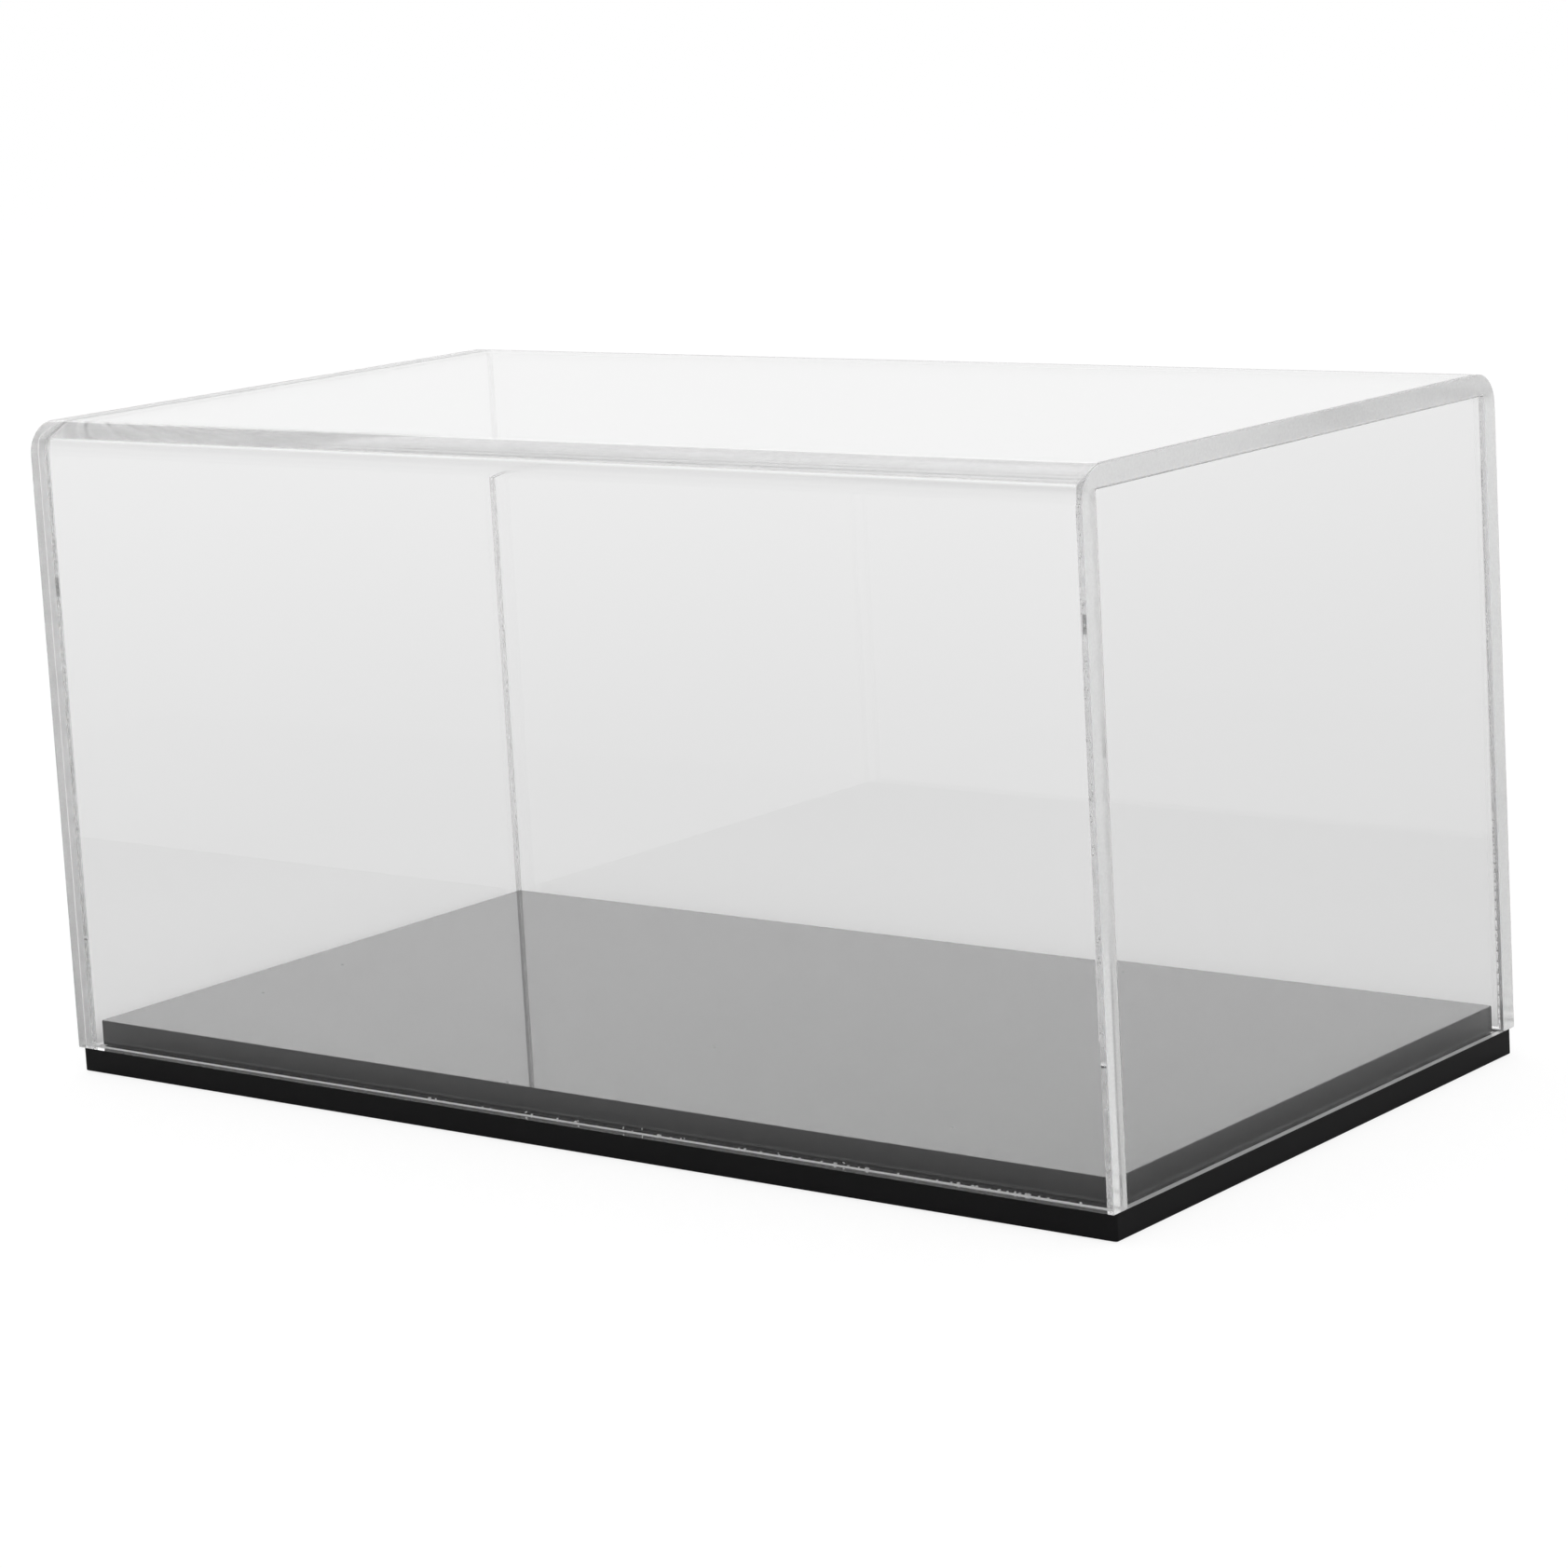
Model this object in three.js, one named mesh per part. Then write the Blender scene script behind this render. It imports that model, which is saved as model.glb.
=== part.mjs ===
// Figurine display case: a clear acrylic cover that lifts off a stepped base
// of two black plates.
//
// The base is a base plate with a slightly smaller plinth plate bonded on top.
// The cover's bottom edge stands on the rim of the base plate, and the plinth
// stands up inside the cover and keeps it in place.
//
// The cover is one sheet, heat bent along two lines into front, top and back,
// with a flat panel cemented into each end.
//
// Millimetres. X runs along the case, the front faces -Y, Z is up, and the
// origin is the centre of the base plate's underside.

import * as THREE from "three";

// Base plate
const base_length = 250.0;
const base_depth = 135.4;
const base_thickness = 5.0;

// Both black plates: small corner radius, and a broken edge all round
const plate_corner_radius = 0.6;
const plate_edge_break = 0.2;

// Film that holds the plinth plate on the base plate
const bond_thickness = 0.2;
const bond_inset = 3.0;

// Plinth plate, sized from the inside of the cover
const plinth_thickness = 5.0;
const plinth_end_clearance = 0.5;
const plinth_side_clearance = 1.15;

// Cover: how far it stands out past the base plate, and its own height
const cover_end_overhang = 0.3;
const cover_side_overhang = 1.0;
const cover_height = 126.3;

// Sheets of the cover, and the inside radius of the two bends
const shell_thickness = 4.0;
const bend_inner_radius = 2.3;
const end_panel_thickness = 3.0;

// Cured cement between each end panel and the bent sheet
const seam_thickness = 0.12;

// Flat steps in each quarter turn
const bend_steps = 12;
const corner_steps = 3;

// Sizes that follow
const cover_length = base_length + 2 * cover_end_overhang;
const cover_depth = base_depth + 2 * cover_side_overhang;
const cover_inner_length = cover_length - 2 * end_panel_thickness;
const cover_inner_depth = cover_depth - 2 * shell_thickness;
const plinth_length = cover_inner_length - 2 * plinth_end_clearance;
const plinth_depth = cover_inner_depth - 2 * plinth_side_clearance;
const plinth_bottom = base_thickness + bond_thickness;

function material(color, roughness, opacity) {
  return new THREE.MeshStandardMaterial({
    color: color,
    roughness: roughness,
    metalness: 0.0,
    opacity: opacity,
    transparent: opacity < 1.0,
  });
}

// Outline of the bent sheet or of what fits inside it, from the front foot up
// over both bends to the back foot. An inset moves it in towards the space
// that the cover encloses, and the bend radius shrinks or grows with it.
function archPoints(inset) {
  const half = cover_depth / 2 - inset;
  const top = cover_height - inset;
  const radius = bend_inner_radius + shell_thickness - inset;
  const points = [new THREE.Vector2(-half, 0)];
  for (let step = 0; step <= bend_steps; step += 1) {
    const angle = Math.PI - (Math.PI / 2) * (step / bend_steps);
    points.push(new THREE.Vector2(
      -half + radius + radius * Math.cos(angle),
      top - radius + radius * Math.sin(angle),
    ));
  }
  for (let step = 0; step <= bend_steps; step += 1) {
    const angle = Math.PI / 2 - (Math.PI / 2) * (step / bend_steps);
    points.push(new THREE.Vector2(
      half - radius + radius * Math.cos(angle),
      top - radius + radius * Math.sin(angle),
    ));
  }
  points.push(new THREE.Vector2(half, 0));
  return points;
}

// A strip between two arch outlines, run along X for the given width
function archStrip(outer_inset, inner_inset, width) {
  const outline = archPoints(outer_inset).concat(archPoints(inner_inset).reverse());
  return new THREE.ExtrudeGeometry(new THREE.Shape(outline), {
    depth: width,
    steps: 1,
    bevelEnabled: false,
  });
}

// A full panel inside an arch outline
function archPanel(inset, width) {
  return new THREE.ExtrudeGeometry(new THREE.Shape(archPoints(inset)), {
    depth: width,
    steps: 1,
    bevelEnabled: false,
  });
}

// A flat plate with rounded corners and a broken edge top and bottom
function plate(length, depth, thickness) {
  const x = length / 2;
  const y = depth / 2;
  const r = plate_corner_radius;
  const shape = new THREE.Shape();
  shape.absarc(x - r, y - r, r, 0, Math.PI / 2, false);
  shape.absarc(-x + r, y - r, r, Math.PI / 2, Math.PI, false);
  shape.absarc(-x + r, -y + r, r, Math.PI, Math.PI * 1.5, false);
  shape.absarc(x - r, -y + r, r, Math.PI * 1.5, Math.PI * 2, false);
  const geometry = new THREE.ExtrudeGeometry(shape, {
    depth: thickness - 2 * plate_edge_break,
    steps: 1,
    curveSegments: corner_steps,
    bevelEnabled: true,
    bevelThickness: plate_edge_break,
    bevelSize: plate_edge_break,
    bevelOffset: -plate_edge_break,
    bevelSegments: 1,
  });
  geometry.translate(0, 0, plate_edge_break);
  return geometry;
}

function piece(name, geometry, look, x, y, z) {
  const mesh = new THREE.Mesh(geometry, look);
  mesh.name = name;
  mesh.position.set(x, y, z);
  return mesh;
}

const black_acrylic = [0x0d0d0e, 0.12, 1.0];
const clear_acrylic = [0xf2f4f4, 0.04, 0.25];
const cured_cement = [0xdde0e0, 0.3, 0.55];
const bond_film = [0x1b1b1c, 0.6, 1.0];

// Base: two plates and the film between them
const base = new THREE.Group();
base.add(piece(
  "base_plate",
  plate(base_length, base_depth, base_thickness),
  material(...black_acrylic),
  0, 0, 0,
));
base.add(piece(
  "plinth_bond",
  new THREE.BoxGeometry(plinth_length - 2 * bond_inset, plinth_depth - 2 * bond_inset, bond_thickness),
  material(...bond_film),
  0, 0, base_thickness + bond_thickness / 2,
));
base.add(piece(
  "plinth_plate",
  plate(plinth_length, plinth_depth, plinth_thickness),
  material(...black_acrylic),
  0, 0, plinth_bottom,
));

// Cover: drawn end on, with the sheet's section in the group's own XY plane
// and its run along the group's Z, then turned so that the run lies along X
const cover = new THREE.Group();
cover.quaternion.setFromRotationMatrix(new THREE.Matrix4().makeBasis(
  new THREE.Vector3(0, 1, 0),
  new THREE.Vector3(0, 0, 1),
  new THREE.Vector3(1, 0, 0),
));
cover.position.z = base_thickness;
const left_end = -cover_length / 2;
const right_end = cover_length / 2 - end_panel_thickness;
cover.add(piece(
  "cover_shell",
  archStrip(0, shell_thickness, cover_length),
  material(...clear_acrylic),
  0, 0, left_end,
));
for (const [side, start] of [["left", left_end], ["right", right_end]]) {
  cover.add(piece(
    side + "_cement_seam",
    archStrip(shell_thickness, shell_thickness + seam_thickness, end_panel_thickness),
    material(...cured_cement),
    0, 0, start,
  ));
  cover.add(piece(
    side + "_end_panel",
    archPanel(shell_thickness + seam_thickness, end_panel_thickness),
    material(...clear_acrylic),
    0, 0, start,
  ));
}

const group = new THREE.Group();
group.add(base);
group.add(cover);

export default group;
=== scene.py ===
# %% [markdown]
# A clear acrylic display case for a figurine, dressed for a photograph.
#
# The real case is a cover of clear sheet that stands on two stacked black
# plates. Almost nothing on it has a colour of its own: what the eye sees is
# light bent by the sheet, light trapped in its edges, and the room mirrored in
# black gloss. So the lesson is about three things: closed bodies with the
# right thickness, joints that let light pass as cement does, and a studio
# that is pale where the case looks for paleness.
#
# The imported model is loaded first. It is the frame that every piece below is
# measured from.

# %% Load the frame
import math

import bmesh
import bpy
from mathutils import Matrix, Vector


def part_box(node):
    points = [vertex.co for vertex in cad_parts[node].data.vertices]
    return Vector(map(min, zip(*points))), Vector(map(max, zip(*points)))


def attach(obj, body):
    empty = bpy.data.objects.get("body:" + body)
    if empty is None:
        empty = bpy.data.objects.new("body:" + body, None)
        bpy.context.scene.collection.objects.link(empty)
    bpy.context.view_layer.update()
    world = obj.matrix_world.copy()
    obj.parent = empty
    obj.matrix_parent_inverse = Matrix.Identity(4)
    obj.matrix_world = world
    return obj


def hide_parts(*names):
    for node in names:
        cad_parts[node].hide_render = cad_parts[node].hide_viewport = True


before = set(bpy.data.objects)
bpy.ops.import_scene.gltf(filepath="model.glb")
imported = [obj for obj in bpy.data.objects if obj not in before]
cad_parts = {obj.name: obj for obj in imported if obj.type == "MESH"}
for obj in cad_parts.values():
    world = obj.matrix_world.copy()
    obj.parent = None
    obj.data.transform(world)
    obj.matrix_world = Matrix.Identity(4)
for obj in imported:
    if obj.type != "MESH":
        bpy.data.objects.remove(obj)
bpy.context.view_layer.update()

MM = 0.001

# %% [markdown]
# The camera stands to the right of the case and a little above it, with a
# long lens. Its place was found by matching the straight edges of the two
# plates and of the cover, with the bending of light by the walls worked in.

# %% Camera
CAMERA_PLACE = (0.53662, -0.66359, 0.22495)
CAMERA_TURN_DEGREES = (81.1944, 3.0009, 37.0409)
CAMERA_LENS_MM = 102.551
CAMERA_SHIFT = (-0.05219, -0.12438)
CAMERA_REACH = (0.01, 50.0)
SENSOR_WIDTH_MM = 36.0


def put_in_scene(name, data):
    thing = bpy.data.objects.new(name, data)
    bpy.context.scene.collection.objects.link(thing)
    return thing


camera_data = bpy.data.cameras.new("long_lens")
camera_data.sensor_fit = "HORIZONTAL"
camera_data.sensor_width = SENSOR_WIDTH_MM
camera_data.lens = CAMERA_LENS_MM
camera_data.shift_x, camera_data.shift_y = CAMERA_SHIFT
camera_data.clip_start, camera_data.clip_end = CAMERA_REACH
camera = put_in_scene("camera", camera_data)
camera.location = CAMERA_PLACE
camera.rotation_euler = [math.radians(a) for a in CAMERA_TURN_DEGREES]
bpy.context.scene.camera = camera
print("camera lens", CAMERA_LENS_MM, "mm")

# %% [markdown]
# Light crosses many faces in a clear case: two walls are four faces, and a
# ray caught in a cut edge is mirrored many times before it leaves. With the
# usual few bounces such rays end black, so the limits are raised.

# %% Bounces
BOUNCES = 96
CLEAR_CROSSINGS = 64

cycles = bpy.context.scene.cycles
cycles.max_bounces = BOUNCES
cycles.transmission_bounces = BOUNCES
cycles.glossy_bounces = BOUNCES
cycles.transparent_max_bounces = CLEAR_CROSSINGS
bpy.context.scene.view_settings.view_transform = "Standard"
print("bounces", BOUNCES)

# %% [markdown]
# Three small helpers serve the trees below. One turns a colour as a painter
# writes it into linear light, one adds a node with its settings and inputs,
# and one makes a material. A node given as an input stands for its first
# output, which is the grey of a noise. Inputs are numbered where their names
# repeat: on a Mix node 0 is the factor, 2 and 3 are numbers, 4 and 5 vectors,
# 6 and 7 colours.

# %% Helpers for node trees
# The kinds of node that come up most.
MATH, VECTOR_MATH = "ShaderNodeMath", "ShaderNodeVectorMath"
NOISE, MAP_RANGE = "ShaderNodeTexNoise", "ShaderNodeMapRange"
SEPARATE, MIX_SHADER = "ShaderNodeSeparateXYZ", "ShaderNodeMixShader"
PRINCIPLED = "ShaderNodeBsdfPrincipled"
# Most of a noise's values lie between these two.
NOISE_MIDDLE = {"From Min": 0.3, "From Max": 0.7}
# Keeps Y and Z, and drops X.
SIDE_ON = (0.0, 1.0, 1.0)


def linear(hex_colour):
    """Follows the sRGB standard's curve, whose numbers these are."""
    channels = [int(hex_colour[i:i + 2], 16) / 255 for i in (1, 3, 5)]
    bent = [c / 12.92 if c <= 0.04045 else ((c + 0.055) / 1.055) ** 2.4 for c in channels]
    return (*bent, 1.0)


def add(tree, kind, inputs=None, **settings):
    node = tree.nodes.new(kind)
    for name, value in settings.items():
        setattr(node, name, value)
    for socket, value in (inputs or {}).items():
        if isinstance(value, bpy.types.Node):
            value = value.outputs[0]
        if isinstance(value, bpy.types.NodeSocket):
            tree.links.new(value, node.inputs[socket])
        else:
            node.inputs[socket].default_value = value
    return node


def new_material(name, surface, **values):
    """Makes a material of a function that builds its surface from the place on it."""
    material = bpy.data.materials.new(name)
    material.use_nodes = True
    tree = material.node_tree
    tree.nodes.clear()
    place = add(tree, "ShaderNodeTexCoord").outputs["Object"]
    add(tree, "ShaderNodeOutputMaterial", {"Surface": surface(tree, place, **values)})
    print("material", name)
    return material

# %% [markdown]
# Cast acrylic sheet. It is poured between two plates of glass, so its faces
# are as flat and as smooth as window glass, but softer: polishing cloths
# leave hairlines that only just catch the light. The eye sees a faint
# greyness where a wall is crossed, and a clear mirror at a low angle.
#
# The hairlines are a stretched noise, 2.5 mm apart on the front, 0.4 mm on an
# end, and 11 mm long: coarser than real ones, so that they show at all. A
# second noise, 45 mm long, is the slight unevenness of a poured sheet.
#
# Shadow rays pass almost straight through, because a real clear sheet lets
# the light of a soft box through, which path tracing finds only by luck.

# %% Clear sheet
ACRYLIC_IOR = 1.49
HAIRLINE_STRETCH = (0.4, 2.4, 0.09)
HAIRLINES_PER_METRE = 1000.0
HAIRLINE_CRESTS = {"From Min": 0.60, "From Max": 0.85}
HAIRLINE_ROUGHNESS = 0.012
WAVES_PER_METRE = 22.0
WAVE_STRENGTH = 0.25
# The haze is full where a face has turned by 27 degrees: sine times cosine.
FULL_HAZE_SLANT = 0.4
SHEET_PASSES = 0.9


def shadow_pass(tree, shader, passes):
    """Lets a share of the shadow rays through."""
    path = add(tree, "ShaderNodeLightPath")
    share = add(tree, MATH, {0: path.outputs["Is Shadow Ray"], 1: passes}, operation="MULTIPLY")
    clear = add(tree, "ShaderNodeBsdfTransparent")
    return add(tree, MIX_SHADER, {0: share, 1: shader, 2: clear})


def clear_sheet_surface(tree, place, tint, bend_haze, wave_stretch, wave_depth):
    stretch = add(tree, "ShaderNodeMapping", {"Vector": place, "Scale": HAIRLINE_STRETCH})
    hairs = add(tree, NOISE, {
        "Vector": stretch, "Scale": HAIRLINES_PER_METRE, "Detail": 2.0, "Roughness": 0.6})
    long_waves = add(tree, "ShaderNodeMapping", {"Vector": place, "Scale": wave_stretch})
    wave = add(tree, NOISE, {
        "Vector": long_waves, "Scale": WAVES_PER_METRE, "Detail": 1.0, "Roughness": 0.4})
    hairlines = add(tree, MAP_RANGE, {
        "Value": hairs, **HAIRLINE_CRESTS, "To Max": HAIRLINE_ROUGHNESS})
    _, y, z = add(tree, SEPARATE, {0: place.node.outputs["Normal"]}).outputs
    leaning = add(tree, MATH, {0: y, 1: z}, operation="MULTIPLY")
    slanting = add(tree, MATH, {0: leaning}, operation="ABSOLUTE")
    haze = add(tree, MAP_RANGE, {
        "Value": slanting, "From Max": FULL_HAZE_SLANT, "To Max": bend_haze,
    }, interpolation_type="SMOOTHSTEP")
    rough = add(tree, MATH, {0: hairlines, 1: haze}, operation="ADD")
    unevenness = add(tree, "ShaderNodeBump", {
        "Height": wave, "Strength": WAVE_STRENGTH, "Distance": wave_depth})
    sheet = add(tree, PRINCIPLED, {
        "Base Color": linear(tint), "Roughness": rough, "IOR": ACRYLIC_IOR,
        "Transmission Weight": 1.0, "Normal": unevenness})
    return shadow_pass(tree, sheet, SHEET_PASSES)


clear_sheet = new_material(
    "cast_acrylic_sheet_clear", clear_sheet_surface, tint="#fdfdfd", bend_haze=0.0,
    wave_stretch=(1.0, 1.0, 1.0), wave_depth=0.01 * MM)
# Over the hot line the sheet softens. Its gloss turns hazy as the face slants,
# from nothing where the bend begins, and long shallow ripples run along it.
# The eye sees a soft grey band that blurs what is behind it.
bent_line = new_material(
    "heat_bent_acrylic_line", clear_sheet_surface, tint="#fdfdfd", bend_haze=0.17,
    wave_stretch=(1.2, 2.0, 2.0), wave_depth=0.02 * MM)

# %% [markdown]
# The cut edge of the same sheet. A saw or a router cuts it, and a scraper and
# a flame or a fine paper take the marks down. It is never quite as clear as
# the face: fine marks, 0.45 mm apart, stay on it and it is satin, so the edge
# glows with whatever light the sheet carries to it. Where a scraper has taken
# an arris off, it is whiter still and shows as a bright thread.

# %% Cut edge of the clear sheet
CUT_MARKS_PER_METRE = 2200.0
CUT_MARK_STRENGTH = 0.12
CUT_MARK_DEPTH = 0.005 * MM
SHEEN_PER_METRE = 90.0
SHEEN_SPREAD = (0.6, 1.4)
MILKY_SPREAD = (0.93, 1.07)
EDGE_PASSES = 0.7


def cut_edge_surface(tree, place, tint, roughness, milky, lets_in):
    """Mixes clear acrylic with a milky share, part of which lets light in."""
    lines = add(tree, NOISE, {
        "Vector": place, "Scale": CUT_MARKS_PER_METRE, "Detail": 3.0, "Roughness": 0.65})
    broad = add(tree, NOISE, {"Vector": place, "Scale": SHEEN_PER_METRE, "Detail": 2.0})
    rough = add(tree, MAP_RANGE, {
        "Value": broad, "To Min": roughness * SHEEN_SPREAD[0],
        "To Max": roughness * SHEEN_SPREAD[1]})
    marks = add(tree, "ShaderNodeBump", {
        "Height": lines, "Strength": CUT_MARK_STRENGTH, "Distance": CUT_MARK_DEPTH})
    edge = add(tree, PRINCIPLED, {
        "Base Color": linear(tint), "Roughness": rough, "IOR": ACRYLIC_IOR,
        "Transmission Weight": 1.0, "Normal": marks})
    scatter = add(tree, "ShaderNodeBsdfTranslucent", {"Color": linear(tint), "Normal": marks})
    frost = add(tree, "ShaderNodeBsdfDiffuse", {"Color": linear(tint), "Normal": marks})
    white = add(tree, MIX_SHADER, {0: lets_in, 1: frost, 2: scatter})
    share = add(tree, MAP_RANGE, {
        "Value": lines, **NOISE_MIDDLE, "To Min": milky * MILKY_SPREAD[0],
        "To Max": milky * MILKY_SPREAD[1]})
    both = add(tree, MIX_SHADER, {0: share, 1: edge, 2: white})
    return shadow_pass(tree, both, EDGE_PASSES)


cut_edge = new_material(
    "sawn_acrylic_edge_scraped", cut_edge_surface, tint="#fdfdfd", roughness=0.20, milky=0.34,
    lets_in=0.5)
scraped_edge = new_material(
    "scraped_acrylic_arris", cut_edge_surface, tint="#ffffff", roughness=0.40, milky=0.80,
    lets_in=0.5)
# The arris inside the foot is scraped dull: nearly white, and it lets little in.
foot_arris = new_material(
    "scraped_acrylic_foot_arris", cut_edge_surface, tint="#ffffff", roughness=0.40, milky=0.96,
    lets_in=0.10)

# %% [markdown]
# The feet of the cover are sawn and stand on the black plate. Seen from
# inside the sheet, a foot is a mirror to light that skims it, because the
# sliver of air under it turns such light back. Steeper light gets out in part
# and meets the whitish fuzz of the saw. Fresnel's law shifts the share from
# one to the other, between two bounds matched to the photograph. The end
# panels' feet are seen more steeply, so there the fuzz shows by itself.

# %% Sawn foot of the clear sheet
SAW_MARKS_PER_METRE = 1600.0
SAW_MARK_STRENGTH = 0.1
SAW_MARK_DEPTH = 0.02 * MM
FUZZ_TONE = {**NOISE_MIDDLE, "To Min": 0.86}
FOOT_MIRROR_SHARE = {"To Min": 0.87, "To Max": 0.98}
FOOT_MIRROR_ROUGHNESS = 0.10


def grey_between(tree, noise, levels):
    """A noise as a grey that lies between two levels."""
    tone = add(tree, MAP_RANGE, {"Value": noise, **levels})
    return add(tree, "ShaderNodeCombineColor", {"Red": tone, "Green": tone, "Blue": tone})


def sawn_foot_surface(tree, place, tint):
    kerf = add(tree, NOISE, {"Vector": place, "Scale": SAW_MARKS_PER_METRE, "Detail": 3.0})
    marks = add(tree, "ShaderNodeBump", {
        "Height": kerf, "Strength": SAW_MARK_STRENGTH, "Distance": SAW_MARK_DEPTH})
    fuzz = add(tree, "ShaderNodeBsdfDiffuse", {"Color": grey_between(tree, kerf, FUZZ_TONE)})
    mirror = add(tree, "ShaderNodeBsdfAnisotropic", {
        "Color": linear(tint), "Roughness": FOOT_MIRROR_ROUGHNESS, "Normal": marks})
    skims = add(tree, "ShaderNodeFresnel", {"IOR": ACRYLIC_IOR})
    share = add(tree, MAP_RANGE, {"Value": skims, **FOOT_MIRROR_SHARE})
    return add(tree, MIX_SHADER, {0: share, 1: fuzz, 2: mirror})


foot_edge = new_material("sawn_acrylic_foot", sawn_foot_surface, tint="#f6f6f6")
panel_foot_edge = new_material(
    "sawn_acrylic_panel_foot", cut_edge_surface, tint="#fafafa", roughness=0.25, milky=0.60,
    lets_in=0.05)

# %% [markdown]
# Where two clear sheets are cemented, the solvent melts both and they become
# one piece of plastic: light crosses the joint without bending. The two
# sheets stay separate bodies here, so the faces that meet are given a skin
# that lets light straight through, and what is seen through it lines up.
#
# The solvent is run in from the inside and never fills the whole joint: it
# reaches a little over a millimetre, with a wandering front. Beyond that a
# film of air between two scraped faces mirrors a ray at a low angle, which is
# the soft silvery strip beside each corner. So the skin is two skins, and a
# distance from the inside of the case, with a noise on it, says which. The
# cement film itself has the melted skin only.

# %% Melted joint face
HAZE_PER_METRE = 320.0
HAZE_TONE = {"From Min": 0.35, "From Max": 0.75, "To Min": 0.975, "To Max": 0.935}
FRONT_WANDERS_PER_METRE = 40.0
SOLVENT_REACH = 1.25 * MM
SOLVENT_WANDER = 0.04 * MM
DRY_JOINT_ROUGHNESS = 0.35
inside_of_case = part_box("right_end_panel")[0][0]


def joint_face_surface(tree, place, reach):
    haze = add(tree, NOISE, {"Vector": place, "Scale": HAZE_PER_METRE, "Detail": 2.0})
    melted = add(tree, "ShaderNodeBsdfTransparent", {"Color": grey_between(tree, haze, HAZE_TONE)})
    if not reach:
        return melted
    along = add(tree, VECTOR_MATH, {0: place, 1: SIDE_ON}, operation="MULTIPLY")
    front = add(tree, NOISE, {"Vector": along, "Scale": FRONT_WANDERS_PER_METRE, "Detail": 1.0})
    depth = add(tree, MAP_RANGE, {
        "Value": front, **NOISE_MIDDLE, "To Min": inside_of_case + reach - SOLVENT_WANDER,
        "To Max": inside_of_case + reach + SOLVENT_WANDER})
    parts = add(tree, SEPARATE, {0: place})
    across = add(tree, MATH, {0: parts}, operation="ABSOLUTE")
    dry = add(tree, MATH, {0: across, 1: depth}, operation="GREATER_THAN")
    unmelted = add(tree, PRINCIPLED, {
        "Base Color": linear("#fafafa"), "Roughness": DRY_JOINT_ROUGHNESS,
        "IOR": ACRYLIC_IOR, "Transmission Weight": 1.0})
    skin = add(tree, MIX_SHADER, {0: dry, 1: melted, 2: unmelted})
    return shadow_pass(tree, skin, SHEET_PASSES)


joint_face = new_material("solvent_welded_joint_face", joint_face_surface, reach=SOLVENT_REACH)
cement_face = new_material("solvent_cement_film_face", joint_face_surface, reach=0.0)

# %% [markdown]
# Air caught in the cement. A bubble is a hollow in plastic, so a ray that
# meets it goes from the dense side to the thin side: the same glass as the
# sheet, with the ratio turned over. That is what makes its rim dark. Its skin
# is a little uneven, with a period of 0.3 mm.

# %% Trapped air
BUBBLE_SKIN_PER_METRE = 3000.0
BUBBLE_SKIN_STRENGTH = 0.2
BUBBLE_SKIN_DEPTH = 0.02 * MM


def trapped_air_surface(tree, place):
    skin = add(tree, NOISE, {"Vector": place, "Scale": BUBBLE_SKIN_PER_METRE, "Detail": 1.0})
    uneven = add(tree, "ShaderNodeBump", {
        "Height": skin, "Strength": BUBBLE_SKIN_STRENGTH, "Distance": BUBBLE_SKIN_DEPTH})
    bubble = add(tree, "ShaderNodeBsdfGlass", {
        "Color": linear("#f8f8f8"), "IOR": 1 / ACRYLIC_IOR, "Normal": uneven})
    return shadow_pass(tree, bubble, SHEET_PASSES)


trapped_air = new_material("trapped_air_in_cement", trapped_air_surface)

# %% [markdown]
# Black cast acrylic for the two plates. Its colour is nearly nothing, so the
# gloss is all that shows: at the photograph's low angle the upper plate's top
# mirrors the bright backdrop and turns mid grey. Wiping leaves hairlines, and
# specks of dust rest on it. So that they show, both are coarser than real
# ones: 0.6 mm apart and 9 mm long, and 0.3 mm in radius.

# %% Black plate face and edge
WIPE_TURN = (0.0, 0.0, 0.35)
WIPE_STRETCH = (0.12, 2.0, 1.0)
WIPE_LINES_PER_METRE = 900.0
WIPE_CRESTS = {"From Min": 0.55, "From Max": 0.8}
WIPE_ROUGHENS = 0.05
WIPE_STRENGTH = 0.15
CLOUDS_PER_METRE = 28.0
CLOUD_TONE = {"To Min": 0.8, "To Max": 1.25}
DUST_CELLS_PER_METRE = 160.0
# In cells. A cell has dust where its random grey is above the rarity.
DUST_RADIUS = 0.055
DUST_RARITY = 0.80
DUST_ROUGHNESS = 0.6


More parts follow.
